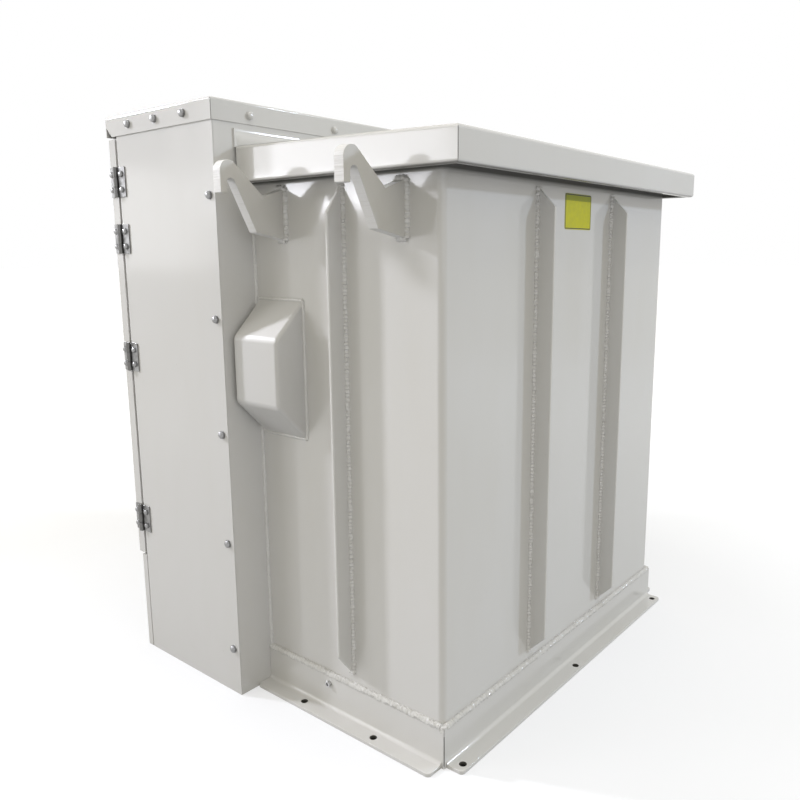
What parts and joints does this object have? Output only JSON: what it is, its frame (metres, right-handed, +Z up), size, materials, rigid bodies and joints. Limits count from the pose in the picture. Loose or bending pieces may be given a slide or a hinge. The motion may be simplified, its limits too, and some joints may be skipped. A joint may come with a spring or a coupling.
{
  "type": "pad-mounted power transformer",
  "caption": "Pad-mounted power transformer: ribbed welded oil tank with an overhanging sloping cover and lifting hooks, behind a taller cable cabinet with hinged doors.",
  "frame": {"origin": "on the floor, under the middle of the overall box", "axes": "+Z up, cabinet doors face -Y, back of the tank faces +Y, low-voltage side towards +X"},
  "size_m": [1.374, 1.0794, 1.4],
  "materials": {
    "tank_paint": "gloss pale grey",
    "cabinet_paint": "gloss pale grey",
    "stainless": "bare stainless",
    "porcelain": "grey glaze",
    "epoxy": "moulded epoxy",
    "terminal_metal": "tinned"
  },
  "bodies": {
    "transformer": {"tank_wrapper": "tank_paint", "tank_front_plate": "tank_paint", "tank_floor": "tank_paint", "tank_cover": "tank_paint", "back_rib_right": "tank_paint", "back_rib_left": "tank_paint", "side_rib_right": "tank_paint", "side_rib_left": "tank_paint", "pocket_right": "tank_paint", "pocket_left": "tank_paint", "lifting_hook_front_right": "tank_paint", "lifting_hook_back_right": "tank_paint", "lifting_hook_front_left": "tank_paint", "lifting_hook_back_left": "tank_paint", "base_angle_back": "tank_paint", "base_angle_right": "tank_paint", "base_angle_left": "tank_paint", "ground_boss_right": "stainless", "ground_boss_left": "stainless", "cabinet_side_right": "cabinet_paint", "cabinet_side_left": "cabinet_paint", "cabinet_cap": "cabinet_paint", "cabinet_sill": "cabinet_paint", "compartment_barrier": "cabinet_paint", "hv_bushings": "epoxy", "lv_bushings": "porcelain", "lv_spades": "terminal_metal", "hinge_leaves_right": "stainless", "hinge_leaves_left": "stainless"},
    "right_door": {"door_right": "cabinet_paint", "door_hinge_leaves_right": "stainless", "door_handle": "stainless"},
    "left_door": {"door_left": "cabinet_paint", "door_hinge_leaves_left": "stainless"}
  },
  "joints": [
    {"name": "right_door_hinge", "type": "hinge", "parent": "transformer", "child": "right_door", "pos_m": [0.626, -0.472, 0.809], "axis": [0, 0, 1], "range_deg": [0, 110]},
    {"name": "left_door_hinge", "type": "hinge", "parent": "transformer", "child": "left_door", "pos_m": [-0.626, -0.472, 0.809], "axis": [0, 0, -1], "range_deg": [0, 110]}
  ]
}
